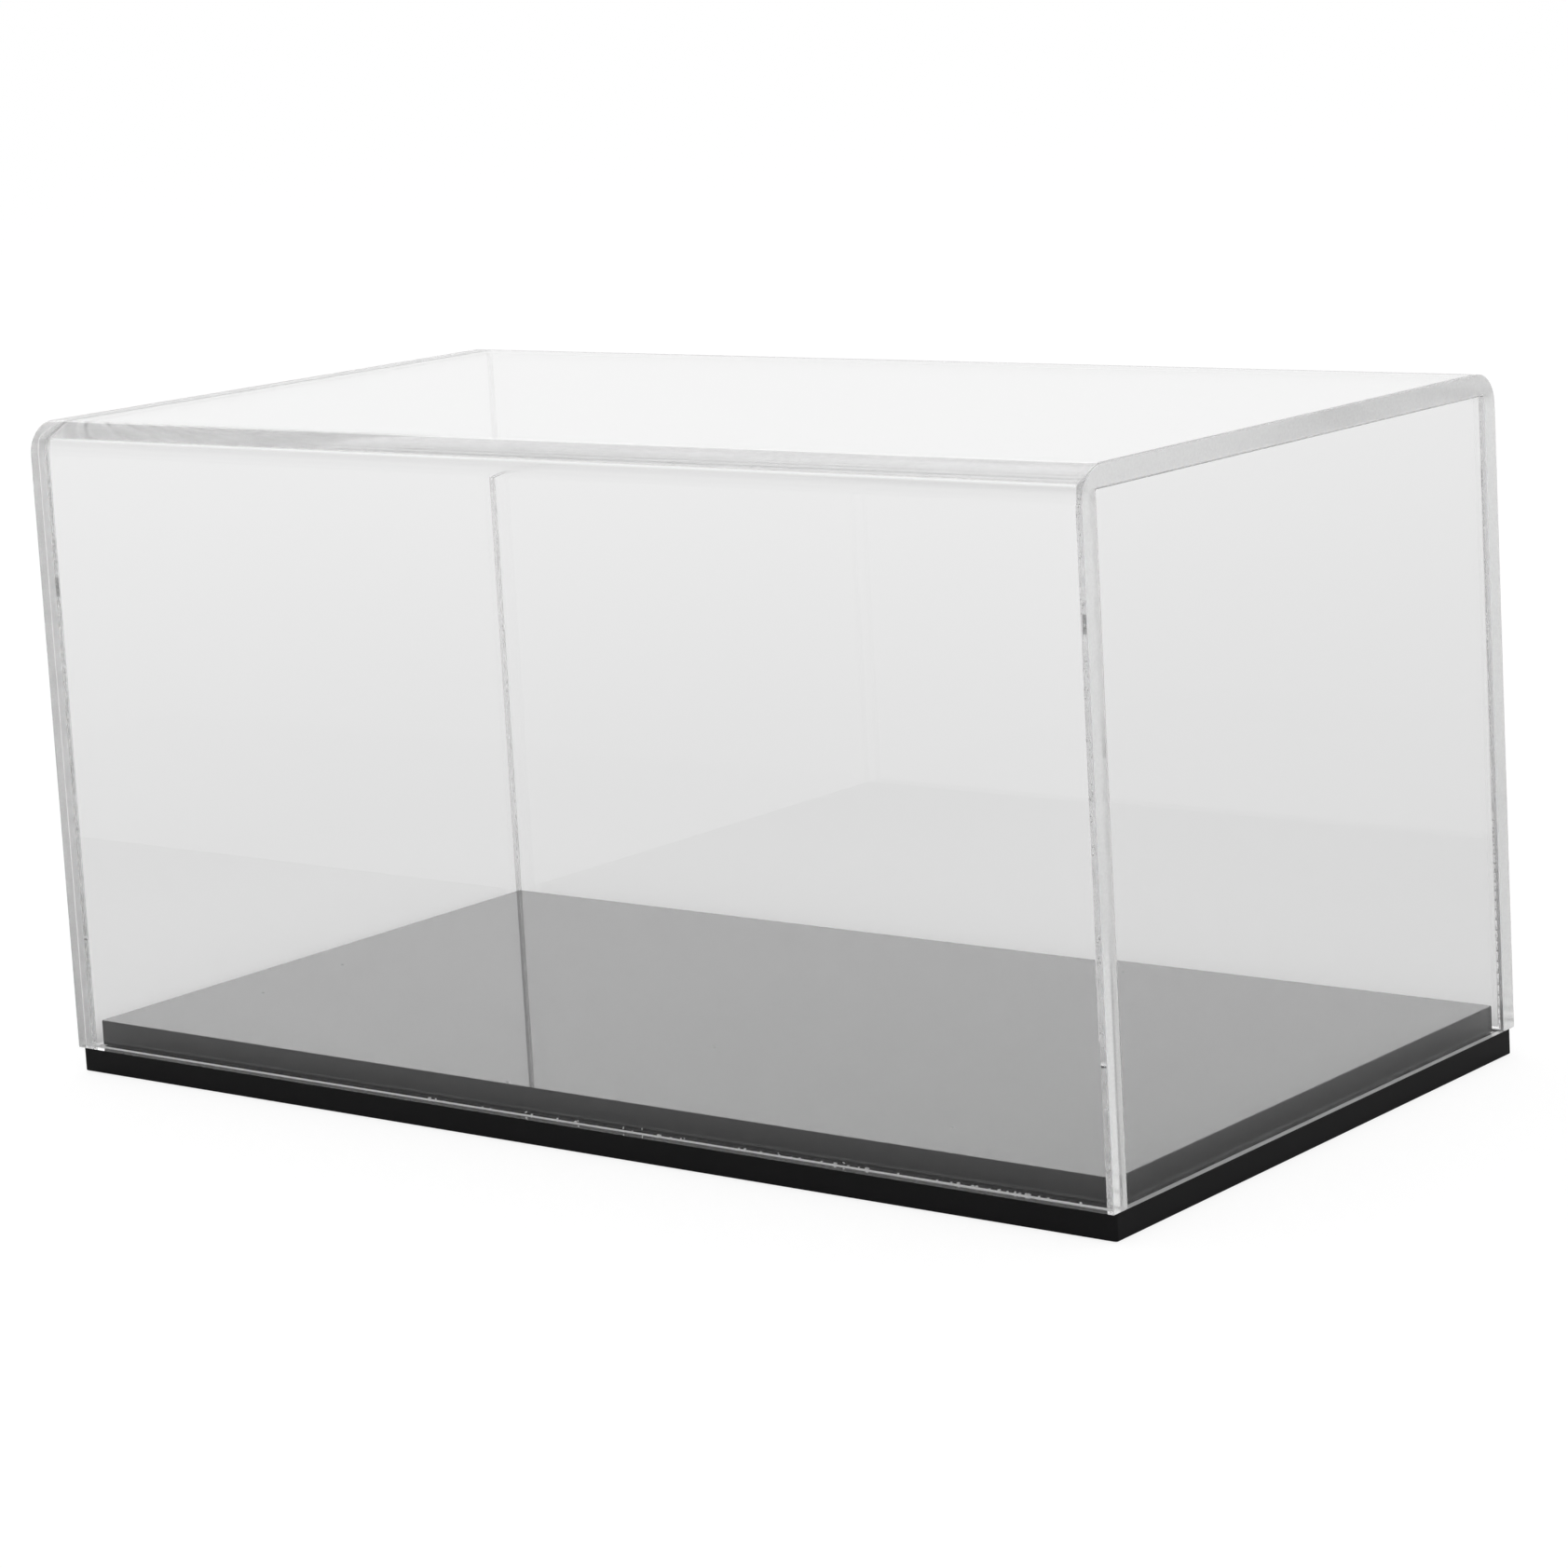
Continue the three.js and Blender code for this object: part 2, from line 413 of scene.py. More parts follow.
def black_plate_surface(tree, place, colour, roughness, line_depth):
    stretch = add(tree, "ShaderNodeMapping", {
        "Vector": place, "Rotation": WIPE_TURN, "Scale": WIPE_STRETCH})
    hairs = add(tree, NOISE, {
        "Vector": stretch, "Scale": WIPE_LINES_PER_METRE, "Detail": 2.0, "Roughness": 0.6})
    cloud = add(tree, NOISE, {"Vector": place, "Scale": CLOUDS_PER_METRE, "Detail": 3.0})
    tone = add(tree, MAP_RANGE, {"Value": cloud, **CLOUD_TONE})
    shade = add(
        tree, "ShaderNodeMix", {0: tone, 6: linear("#000000"), 7: linear(colour)},
        data_type="RGBA", clamp_factor=False)
    rough = add(tree, MAP_RANGE, {
        "Value": hairs, **WIPE_CRESTS, "To Min": roughness, "To Max": roughness + WIPE_ROUGHENS})
    lines = add(tree, "ShaderNodeBump", {
        "Height": hairs, "Strength": WIPE_STRENGTH, "Distance": line_depth})
    cells = add(tree, "ShaderNodeTexVoronoi", {"Vector": place, "Scale": DUST_CELLS_PER_METRE})
    near = add(tree, MATH, {0: cells.outputs["Distance"], 1: DUST_RADIUS}, operation="LESS_THAN")
    few = add(tree, MATH, {0: cells.outputs["Color"], 1: DUST_RARITY}, operation="GREATER_THAN")
    dust = add(tree, MATH, {0: near, 1: few}, operation="MULTIPLY")
    dusty = add(
        tree, "ShaderNodeMix", {0: dust, 6: shade.outputs[2], 7: linear("#7c7c7c")},
        data_type="RGBA")
    matt = add(tree, "ShaderNodeMix", {0: dust, 2: rough, 3: DUST_ROUGHNESS})
    return add(tree, PRINCIPLED, {
        "Base Color": dusty.outputs[2], "Roughness": matt, "IOR": ACRYLIC_IOR, "Normal": lines})


black_face = new_material(
    "cast_acrylic_sheet_black", black_plate_surface, colour="#0c0c0d", roughness=0.02,
    line_depth=0.004 * MM)
# The sawn and polished edge is a little less glossy, and its marks are deeper.
black_edge = new_material(
    "sawn_acrylic_edge_black", black_plate_surface, colour="#0b0b0c", roughness=0.08,
    line_depth=0.02 * MM)

# %% [markdown]
# The film that holds the two plates together is a thin double-sided tape. It
# only shows as a dark line, but the line would be a gap without it. Its
# fibres are drawn 1.4 mm apart.

# %% Tape film
FIBRES_PER_METRE = 700.0
TAPE_ROUGHNESS = 0.6


def tape_surface(tree, place):
    fibres = add(tree, NOISE, {"Vector": place, "Scale": FIBRES_PER_METRE, "Detail": 3.0})
    shade = add(tree, "ShaderNodeValToRGB", {"Fac": fibres})
    shade.color_ramp.elements[0].color = linear("#101011")
    shade.color_ramp.elements[1].color = linear("#262627")
    return add(tree, PRINCIPLED, {"Base Color": shade, "Roughness": TAPE_ROUGHNESS})


tape = new_material("double_sided_tape_film", tape_surface)

# %% [markdown]
# Sizes. All of them are read from the frame's pieces, but for the radii of
# the two bends, which no box shows, and the tiny sizes at edges. A sheet that
# is bent over a hot line thickens on the inside, so the inside corner is
# sharper than the outside one.

# %% Sizes from the frame
shell_low, shell_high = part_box("cover_shell")
seam_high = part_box("left_cement_seam")[1]
panel_low, panel_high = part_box("left_end_panel")
AIR_UNDER_FOOT = 0.04 * MM
HALF_LENGTH = shell_high[0]
HALF_DEPTH = shell_high[1]
FOOT = shell_low[2] + AIR_UNDER_FOOT
TOP = shell_high[2]
SHEET = shell_high[1] - seam_high[1]
PANEL = panel_high[0] - panel_low[0]
SEAM = seam_high[1] - panel_high[1]
OUTER_RADIUS = 6.3 * MM
INNER_RADIUS = 0.5 * MM
BEND_STEPS = 64
EDGE_ROUNDING = 0.12 * MM
EDGE_STEPS = 3
SCRAPED = 0.24 * MM
# Points closer than this are one point.
SAME_PLACE = 0.002 * MM
# Anything this close to the foot belongs to it.
FOOT_SLACK = 0.01 * MM
print("sheet %.2f mm, panel %.2f mm, seam %.3f mm" % (SHEET / MM, PANEL / MM, SEAM / MM))

# %% [markdown]
# The bent sheet is the main piece, and its shape follows a rule: a flat sheet
# whose section runs up the front, over the top and down the back, with two
# bends. It could be modelled by hand, but a sweep says the same thing in
# numbers: a path with three straight runs and two filleted corners, and a
# section, which is the sheet's thickness by its length. The section carries
# two extra points on each side, so that the strips inside where the end
# panels are cemented become faces of their own. After the sweep the inside of
# each bend is pulled towards its corner, and the inner edge of the foot is
# scraped off.

# %% Node helpers for swept sheets
# Signs that mirror a path's point to the front or the back of the case, and
# signs for the corners of a section, whose X runs along the case.
FRONT, BACK = (1.0, -1.0, 1.0), (1.0, 1.0, 1.0)
LEFT_UNDER, RIGHT_UNDER = (-1.0, -1.0, 1.0), (1.0, -1.0, 1.0)
LEFT_OVER, RIGHT_OVER = (-1.0, 1.0, 1.0), (1.0, 1.0, 1.0)
# Faces that meet at a smaller angle than this, in degrees, look rounded.
SMOOTH_BELOW = 50.0
SMALL_SMOOTH_BELOW = 40.0


def tree_with_inputs(name, vectors, floats):
    tree = bpy.data.node_groups.new(name, "GeometryNodeTree")
    for names, kind in ((vectors, "NodeSocketVector"), (floats, "NodeSocketFloat")):
        for socket in names:
            tree.interface.new_socket(name=socket, in_out="INPUT", socket_type=kind)
    tree.interface.new_socket(name="Geometry", in_out="OUTPUT", socket_type="NodeSocketGeometry")
    return tree, add(tree, "NodeGroupInput").outputs


def polyline(tree, corners, cyclic, radius, steps):
    """A line through points, each a vector and the signs that mirror it."""
    switch = add(tree, "GeometryNodeIndexSwitch", data_type="VECTOR")
    while len(switch.index_switch_items) < len(corners):
        switch.index_switch_items.new()
    for place, (corner, signs) in enumerate(corners):
        mirrored = add(tree, VECTOR_MATH, {0: corner, 1: signs}, operation="MULTIPLY")
        tree.links.new(mirrored.outputs[0], switch.inputs[place + 1])
    tree.links.new(add(tree, "GeometryNodeInputIndex").outputs[0], switch.inputs[0])
    points = add(tree, "GeometryNodePoints", {"Count": len(corners), "Position": switch})
    line = add(tree, "GeometryNodePointsToCurves", {0: points})
    closed = add(tree, "GeometryNodeSetSplineCyclic", {0: line, "Cyclic": cyclic})
    return add(tree, "GeometryNodeFilletCurve", {
        "Curve": closed, "Count": steps, "Radius": radius}, mode="POLY")


def sweep(tree, path, section):
    swept = add(tree, "GeometryNodeCurveToMesh", {
        "Curve": path, "Profile Curve": section, "Fill Caps": True})
    return add(tree, "GeometryNodeMergeByDistance", {"Geometry": swept, "Distance": SAME_PLACE})


def ease_normals(piece, smooth_angle):
    """Rounds only the bends: flat faces keep their own direction to the rim."""
    piece.data.shade_smooth()
    piece.data.set_sharp_from_angle(angle=math.radians(smooth_angle))
    weighted = piece.modifiers.new("flat_faces_lead", "WEIGHTED_NORMAL")
    weighted.mode = "FACE_AREA"
    weighted.weight = 100
    weighted.keep_sharp = True


def plain_mesh(name, tree, values, smooth_angle):
    """Runs a tree with its inputs set, and keeps the result as a plain mesh."""
    holder = put_in_scene(name, bpy.data.meshes.new(name + "_start"))
    modifier = holder.modifiers.new("shape", "NODES")
    modifier.node_group = tree
    for item in tree.interface.items_tree:
        if item.in_out == "INPUT":
            modifier[item.identifier] = values[item.name]
    graph = bpy.context.evaluated_depsgraph_get()
    mesh = bpy.data.meshes.new_from_object(
        holder.evaluated_get(graph), preserve_all_data_layers=True, depsgraph=graph)
    holder.modifiers.remove(modifier)
    while None in list(mesh.materials):
        empty = list(mesh.materials).index(None)
        assert all(f.material_index != empty for f in mesh.polygons)
        mesh.materials.pop(index=empty)
    holder.data = mesh
    mesh.name = name
    ease_normals(holder, smooth_angle)
    print(name, "has", len(mesh.polygons), "faces and", len(mesh.materials), "materials")
    return holder

# %% Bent sheet, shaped
def sharpen_inside_bends(tree, geometry, centre, outer, thickness, pull):
    """Pulls the inside of each bend towards the corner, the more the deeper."""
    place = add(tree, "GeometryNodeInputPosition")
    mirrored = add(tree, VECTOR_MATH, {0: place}, operation="ABSOLUTE")
    flat = add(tree, VECTOR_MATH, {0: mirrored, 1: SIDE_ON}, operation="MULTIPLY")
    arm = add(tree, VECTOR_MATH, {0: flat, 1: centre}, operation="SUBTRACT")
    _, y, z = add(tree, SEPARATE, {0: arm}).outputs
    nearer = add(tree, MATH, {0: y, 1: z}, operation="MINIMUM")
    in_bend = add(tree, MATH, {0: nearer, 1: -SAME_PLACE}, operation="GREATER_THAN")
    reach = add(tree, VECTOR_MATH, {0: arm}, operation="LENGTH").outputs["Value"]
    depth = add(tree, MATH, {0: outer, 1: reach}, operation="SUBTRACT")
    share = add(tree, MATH, {0: depth, 1: thickness}, operation="DIVIDE", use_clamp=True)
    amount = add(tree, MATH, {0: share, 1: pull}, operation="MULTIPLY")
    heading = add(tree, VECTOR_MATH, {0: arm}, operation="NORMALIZE")
    corner = add(tree, VECTOR_MATH, {0: SIDE_ON, 1: heading}, operation="SUBTRACT")
    scaled = add(tree, VECTOR_MATH, {0: corner, "Scale": amount}, operation="SCALE")
    sides = add(tree, VECTOR_MATH, {0: place}, operation="SIGN")
    offset = add(tree, VECTOR_MATH, {0: scaled, 1: sides}, operation="MULTIPLY")
    return add(tree, "GeometryNodeSetPosition", {
        "Geometry": geometry, "Selection": in_bend, "Offset": offset})


def scrape_foot(tree, geometry, lowest, inside):
    """Moves the inner rim of the foot outwards, which leaves a slope above it."""
    place = add(tree, "GeometryNodeInputPosition")
    x, y, z = add(tree, SEPARATE, {0: place}).outputs
    at_foot = add(tree, MATH, {0: z, 1: lowest}, operation="LESS_THAN")
    across = add(tree, MATH, {0: y}, operation="ABSOLUTE")
    moved = add(tree, MATH, {0: across, 1: inside}, operation="MAXIMUM")
    side = add(tree, MATH, {0: y}, operation="SIGN")
    signed = add(tree, MATH, {0: moved, 1: side}, operation="MULTIPLY")
    target = add(tree, "ShaderNodeCombineXYZ", {0: x, 1: signed, 2: z})
    return add(tree, "GeometryNodeSetPosition", {
        "Geometry": geometry, "Selection": at_foot, "Position": target})

# %% [markdown]
# The sheet's finishes could be painted face by face. Here each face gets its
# finish by the way it looks and where it lies, so that they follow when a
# size changes. The bounds are on the parts of a face's direction: below
# LOOKS_INWARD it turns to the middle of the case, above OFF_SQUARE to an end,
# below ON_A_RUN it is neither upright nor level.

# %% Bent sheet, dressed
LOOKS_INWARD = -0.001
OFF_SQUARE = 0.05
CUT_SQUARE = 0.999
ON_A_RUN = 0.9996
LOOKS_DOWN = -0.3
STRAIGHT_DOWN = -0.9


def finish_tree(tree, geometry, main, others):
    """Ends a tree as a plain mesh in its main material, and others where a test holds."""
    whole = add(tree, "GeometryNodeRealizeInstances", {0: geometry})
    look = add(tree, "GeometryNodeSetMaterial", {"Geometry": whole, "Material": main})
    for test, material in others:
        look = add(tree, "GeometryNodeSetMaterial", {
            "Geometry": look, "Selection": test, "Material": material})
    add(tree, "NodeGroupOutput", {0: look})
    return tree


def dress_bent_sheet(tree, geometry, joint, middle, slope_top):
    place = add(tree, "GeometryNodeInputPosition")
    normal = add(tree, "GeometryNodeInputNormal")
    where = add(tree, SEPARATE, {0: place}).outputs
    heading = add(tree, SEPARATE, {0: normal}).outputs
    outward = add(tree, VECTOR_MATH, {0: place, 1: middle}, operation="SUBTRACT")
    flat = add(tree, VECTOR_MATH, {0: outward, 1: SIDE_ON}, operation="MULTIPLY")
    facing = add(tree, VECTOR_MATH, {0: flat, 1: normal}, operation="DOT_PRODUCT")
    across = add(tree, MATH, {0: where[0]}, operation="ABSOLUTE")
    turn = add(tree, MATH, {0: heading[0]}, operation="ABSOLUTE")
    facings = add(tree, VECTOR_MATH, {0: normal}, operation="ABSOLUTE")
    axes = add(tree, SEPARATE, {0: facings}).outputs
    tests = {}
    steps = (
        ("inside", facing.outputs["Value"], "LESS_THAN", LOOKS_INWARD),
        ("over panel", across, "GREATER_THAN", joint),
        ("square", turn, "LESS_THAN", OFF_SQUARE),
        ("arris", turn, "GREATER_THAN", OFF_SQUARE),
        ("cut", turn, "GREATER_THAN", CUT_SQUARE),
        ("squarest", axes[1], "MAXIMUM", axes[2]),
        ("turned", "squarest", "LESS_THAN", ON_A_RUN),
        ("bend", "turned", "MULTIPLY", "square"),
        ("down", heading[2], "LESS_THAN", LOOKS_DOWN),
        ("low", where[2], "LESS_THAN", slope_top),
        ("foot", "down", "MULTIPLY", "low"),
        ("steep", heading[2], "GREATER_THAN", STRAIGHT_DOWN),
        ("slope", "foot", "MULTIPLY", "steep"),
        ("strip", "inside", "MULTIPLY", "over panel"),
        ("cemented", "strip", "MULTIPLY", "square"))
    for name, first, operation, second in steps:
        pair = [tests[side] if isinstance(side, str) else side for side in (first, second)]
        tests[name] = add(tree, MATH, dict(enumerate(pair)), operation=operation)
    return finish_tree(tree, geometry, clear_sheet, [(tests[name], material) for name, material in (
        ("bend", bent_line), ("arris", scraped_edge), ("cut", cut_edge),
        ("cemented", joint_face), ("foot", foot_edge), ("slope", foot_arris))])


def bent_sheet_tree():
    tree, size = tree_with_inputs(
        "sheet swept along an arch",
        ["Foot", "Above scraping", "Top", "Section end", "Section joint", "Bend centre", "Middle"],
        ["Path radius", "Outer radius", "Thickness", "Inside pull", "Joint", "Foot level",
         "Slope top", "Scraped inside", "Edge rounding"])
    path = polyline(tree, [
        (size["Foot"], FRONT), (size["Above scraping"], FRONT), (size["Top"], FRONT),
        (size["Top"], BACK), (size["Above scraping"], BACK), (size["Foot"], BACK),
    ], False, size["Path radius"], BEND_STEPS)
    end, joint = size["Section end"], size["Section joint"]
    section = polyline(tree, [
        (end, LEFT_UNDER), (joint, LEFT_UNDER), (joint, RIGHT_UNDER), (end, RIGHT_UNDER),
        (end, RIGHT_OVER), (joint, RIGHT_OVER), (joint, LEFT_OVER), (end, LEFT_OVER),
    ], True, size["Edge rounding"], EDGE_STEPS)
    sharp = sharpen_inside_bends(
        tree, sweep(tree, path, section), size["Bend centre"], size["Outer radius"],
        size["Thickness"], size["Inside pull"])
    scraped = scrape_foot(tree, sharp, size["Foot level"], size["Scraped inside"])
    return dress_bent_sheet(tree, scraped, size["Joint"], size["Middle"], size["Slope top"])


half = SHEET / 2
bent_sheet = plain_mesh("bent_sheet", bent_sheet_tree(), {
    "Foot": (0.0, HALF_DEPTH - half, FOOT),
    "Above scraping": (0.0, HALF_DEPTH - half, FOOT + SCRAPED),
    "Top": (0.0, HALF_DEPTH - half, TOP - half),
    "Section end": (HALF_LENGTH, half, 0.0),
    "Section joint": (HALF_LENGTH - PANEL, half, 0.0),
    "Bend centre": (0.0, HALF_DEPTH - OUTER_RADIUS, TOP - OUTER_RADIUS),
    "Middle": (0.0, 0.0, (FOOT + TOP) / 2),
    "Path radius": OUTER_RADIUS - half, "Outer radius": OUTER_RADIUS, "Thickness": SHEET,
    "Inside pull": OUTER_RADIUS - SHEET - INNER_RADIUS, "Joint": HALF_LENGTH - PANEL,
    "Foot level": FOOT + FOOT_SLACK, "Slope top": FOOT + SCRAPED,
    "Scraped inside": HALF_DEPTH - SHEET + SCRAPED, "Edge rounding": EDGE_ROUNDING,
}, SMOOTH_BELOW)
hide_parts("cover_shell")
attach(bent_sheet, "cover")

# %% [markdown]
# Each end panel is a flat sheet cut to the inside outline of the arch. It is
# drawn as that outline, pulled out to its thickness, and its edges are eased
# a little, as a scraper leaves them. Its rim is cemented, so the rim gets the
# melted joint's skin, while the foot, which stands on the base, is sawn.

# %% End panels
SLAB_FACE, PANEL_FOOT, PANEL_RIM = 0, 1, 2
PANEL_EASING_STEPS = 2
ROUND_PROFILE = 0.5


def slab(name, near, far, side_looks, looks, easing, steps, eased_look):
    """Pulls a slab out between two outlines and eases its rims."""
    build = bmesh.new()
    near, far = [[build.verts.new(point) for point in ring] for ring in (near, far)]
    build.faces.new(near)
    build.faces.new(far[::-1])
    for i, look in enumerate(side_looks):
        j = (i + 1) % len(near)
        build.faces.new((near[i], far[i], far[j], near[j])).material_index = look
    bmesh.ops.recalc_face_normals(build, faces=build.faces)
    if easing:
        eased = {SLAB_FACE, side_looks[0]}
        rims = [e for e in build.edges if {f.material_index for f in e.link_faces} == eased]
        bmesh.ops.bevel(
            build, geom=rims, offset=easing, offset_type="OFFSET", segments=steps,
            profile=ROUND_PROFILE, affect="EDGES", material=eased_look)
    mesh = bpy.data.meshes.new(name)
    build.to_mesh(mesh)
    build.free()
    for material in looks:
        mesh.materials.append(material)
    made = put_in_scene(name, mesh)
    ease_normals(made, SMOOTH_BELOW)
    print(name, "has", len(mesh.polygons), "faces")
    return made


def arch_outline(inset, radius):
    half = HALF_DEPTH - inset
    top = TOP - inset
    points = [(-half, FOOT)]
    for side in (-1, 1):
        for step in range(BEND_STEPS + 1):
            turn = step / BEND_STEPS if side < 0 else 1 - step / BEND_STEPS
            angle = math.pi / 2 * turn
            points.append((
                side * (half - radius + radius * math.cos(angle)),
                top - radius + radius * math.sin(angle)))
    points.append((half, FOOT))
    return points


def end_panel(name, node):
    low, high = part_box(node)
    outline = arch_outline(SHEET + SEAM, INNER_RADIUS - SEAM)
    near, far = [[(x, y, z) for y, z in outline] for x in (low[0], high[0])]
    sides = [PANEL_RIM] * (len(outline) - 1) + [PANEL_FOOT]
    panel = slab(
        name, near, far, sides, (clear_sheet, panel_foot_edge, joint_face), EDGE_ROUNDING,
        PANEL_EASING_STEPS, SLAB_FACE)
    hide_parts(node)
    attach(panel, "cover")


end_panel("left_end_sheet", "left_end_panel")
end_panel("right_end_sheet", "right_end_panel")

# %% [markdown]
# The cement between an end panel and the bent sheet is a film a tenth of a
# millimetre thick. Solvent runs into the joint by itself and boils a little
# as it melts the plastic, so air is left in flat bubbles along the inside.
# The film is a second sweep along the same arch, and the bubbles are one
# small ball, set at random places on a ribbon in the film, flattened to its
# thickness. Near the foot the joint dried first and the bubbles are drawn
# out; at the bends they run together. A fixed seed keeps them in place.

# %% Cement films with bubbles
BUBBLES = {"Bubbles per area": 0.9e6, "Smallest bubble": 0.08 * MM, "Largest bubble": 0.30 * MM}
BUBBLE_GAP = 0.22 * MM
BUBBLE_SIZE_SEED = 3
# Crowds of larger bubbles, 6 mm apart, with fine ones between them.
CROWDS_PER_METRE = 160.0
CROWD_SIZES = {"From Min": 0.35, "From Max": 0.65, "To Min": 0.45, "To Max": 1.25}
# How much longer a bubble is than wide, near the foot and at the bends.
DRAWN_OUT = {"To Min": 1.25, "To Max": 2.6}
RUN_TOGETHER = {"To Min": 1.0, "To Max": 2.2}
DRAWN_OUT_HEIGHT, RUN_TOGETHER_DEPTH = 30 * MM, 9 * MM
BUBBLE_SHARE_OF_FILM = 0.42
BUBBLES_FROM, BUBBLES_TO = 0.1 * MM, 1.15 * MM
END_FACE = -0.05


def bubbles_on(tree, ribbon, size):
    height = add(tree, SEPARATE, {0: add(tree, "GeometryNodeInputPosition")}).outputs[2]
    spots = add(tree, "GeometryNodeDistributePointsOnFaces", {
        "Mesh": ribbon, "Distance Min": BUBBLE_GAP, "Density Max": size["Bubbles per area"],
        "Seed": size["Seed"]}, distribute_method="POISSON")
    length = add(tree, "FunctionNodeRandomValue", {
        2: size["Smallest bubble"], 3: size["Largest bubble"], "Seed": BUBBLE_SIZE_SEED,
    }, data_type="FLOAT")
    crowd = add(tree, NOISE, {"Scale": CROWDS_PER_METRE, "Detail": 1.0})
    vary = add(tree, MAP_RANGE, {"Value": crowd, **CROWD_SIZES})
    wide = add(tree, MATH, {0: length.outputs[1], 1: vary}, operation="MULTIPLY")
    near_foot = add(tree, MAP_RANGE, {
        "Value": height, "From Min": size["Drawn out below"], "From Max": size["Foot level"],
        **DRAWN_OUT})
    at_bend = add(tree, MAP_RANGE, {
        "Value": height, "From Min": size["Runs together above"], "From Max": size["Top level"],
        **RUN_TOGETHER})
    long = add(tree, MATH, {0: wide, 1: near_foot}, operation="MULTIPLY")
    longer = add(tree, MATH, {0: long, 1: at_bend}, operation="MULTIPLY")
    flat = add(tree, MATH, {0: size["Thickness"], 1: BUBBLE_SHARE_OF_FILM}, operation="MULTIPLY")
    scale = add(tree, "ShaderNodeCombineXYZ", {0: wide, 1: longer, 2: flat})
    ball = add(tree, "GeometryNodeMeshIcoSphere", {"Radius": 1.0, "Subdivisions": 2})
    air = add(tree, "GeometryNodeStoreNamedAttribute", {
        "Geometry": ball, "Name": "air", "Value": True}, data_type="BOOLEAN", domain="FACE")
    return add(tree, "GeometryNodeInstanceOnPoints", {
        "Points": spots.outputs["Points"], "Instance": air,
        "Rotation": spots.outputs["Rotation"], "Scale": scale})


def seam_tree():
    tree, size = tree_with_inputs(
        "cement film with bubbles",
        ["Foot", "Top", "Film corner", "Bubbles from", "Bubbles to", "Centre"],
        ["Radius", "Thickness", "Bubbles per area", "Smallest bubble", "Largest bubble",
         "Drawn out below", "Runs together above", "Foot level", "Top level", "Seed"])
    path = polyline(tree, [
        (size["Foot"], FRONT), (size["Top"], FRONT), (size["Top"], BACK), (size["Foot"], BACK),
    ], False, size["Radius"], BEND_STEPS)
    corners = (LEFT_UNDER, RIGHT_UNDER, RIGHT_OVER, LEFT_OVER)
    section = polyline(tree, [(size["Film corner"], signs) for signs in corners], True, 0.0, 1)
    film = sweep(tree, path, section)
    across = polyline(
        tree, [(size["Bubbles from"], BACK), (size["Bubbles to"], BACK)], False, 0.0, 1)
    ribbon = add(tree, "GeometryNodeCurveToMesh", {"Curve": path, "Profile Curve": across})
    both = add(tree, "GeometryNodeJoinGeometry")
    for part in (film, bubbles_on(tree, ribbon, size)):
        tree.links.new(part.outputs[0], both.inputs[0])
    moved = add(tree, "GeometryNodeTransform", {"Geometry": both, "Translation": size["Centre"]})
    place = add(tree, SEPARATE, {0: add(tree, "GeometryNodeInputPosition")})
    heading = add(tree, SEPARATE, {0: add(tree, "GeometryNodeInputNormal")})
    inward = add(tree, MATH, {0: place, 1: heading}, operation="MULTIPLY")
    open_face = add(tree, MATH, {0: inward, 1: END_FACE}, operation="LESS_THAN")
    air = add(tree, "GeometryNodeInputNamedAttribute", {"Name": "air"}, data_type="BOOLEAN")
    return finish_tree(tree, moved, cement_face, ((open_face, clear_sheet), (air, trapped_air)))


cement_tree = seam_tree()
middle = SHEET + SEAM / 2
for piece_name, node, side, seed in (
        ("left_cement", "left_cement_seam", -1, 11.0),
        ("right_cement", "right_cement_seam", 1, 23.0)):
    low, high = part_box(node)
    half_width = (high[0] - low[0]) / 2 - EDGE_ROUNDING
    cement = plain_mesh(piece_name, cement_tree, {
        "Foot": (0.0, HALF_DEPTH - middle, FOOT), "Top": (0.0, HALF_DEPTH - middle, TOP - middle),
        "Film corner": (half_width, SEAM / 2, 0.0),
        "Bubbles from": (-side * (half_width - BUBBLES_FROM), 0.0, 0.0),
        "Bubbles to": (-side * (half_width - BUBBLES_TO), 0.0, 0.0),
        "Centre": ((low[0] + high[0]) / 2, 0.0, 0.0),
        "Radius": INNER_RADIUS - SEAM / 2, "Thickness": SEAM, **BUBBLES,
        "Drawn out below": FOOT + DRAWN_OUT_HEIGHT, "Foot level": FOOT,
        "Runs together above": TOP - RUN_TOGETHER_DEPTH, "Top level": TOP - SHEET,
        "Seed": seed}, SMALL_SMOOTH_BELOW)
    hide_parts(node)
    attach(cement, "cover")

# %% [markdown]
# The two black plates are sawn from cast sheet. Their corners are left almost
# sharp and their edges are only broken with a scraper, so each plate is its
# outline, pulled out to its thickness, with a fine rounding along every edge
# that catches a thread of light. The faces are the sheet's own gloss; the
# edges are sawn and polished, a little less clear. The tape between them is
# the same shape without the rounding.

# %% Plates and the tape between them
PLATE_EDGE = 1
PLATE_CORNER = 0.6 * MM
CORNER_STEPS = 4
PLATE_EASING = 0.2 * MM
PLATE_EASING_STEPS = 3


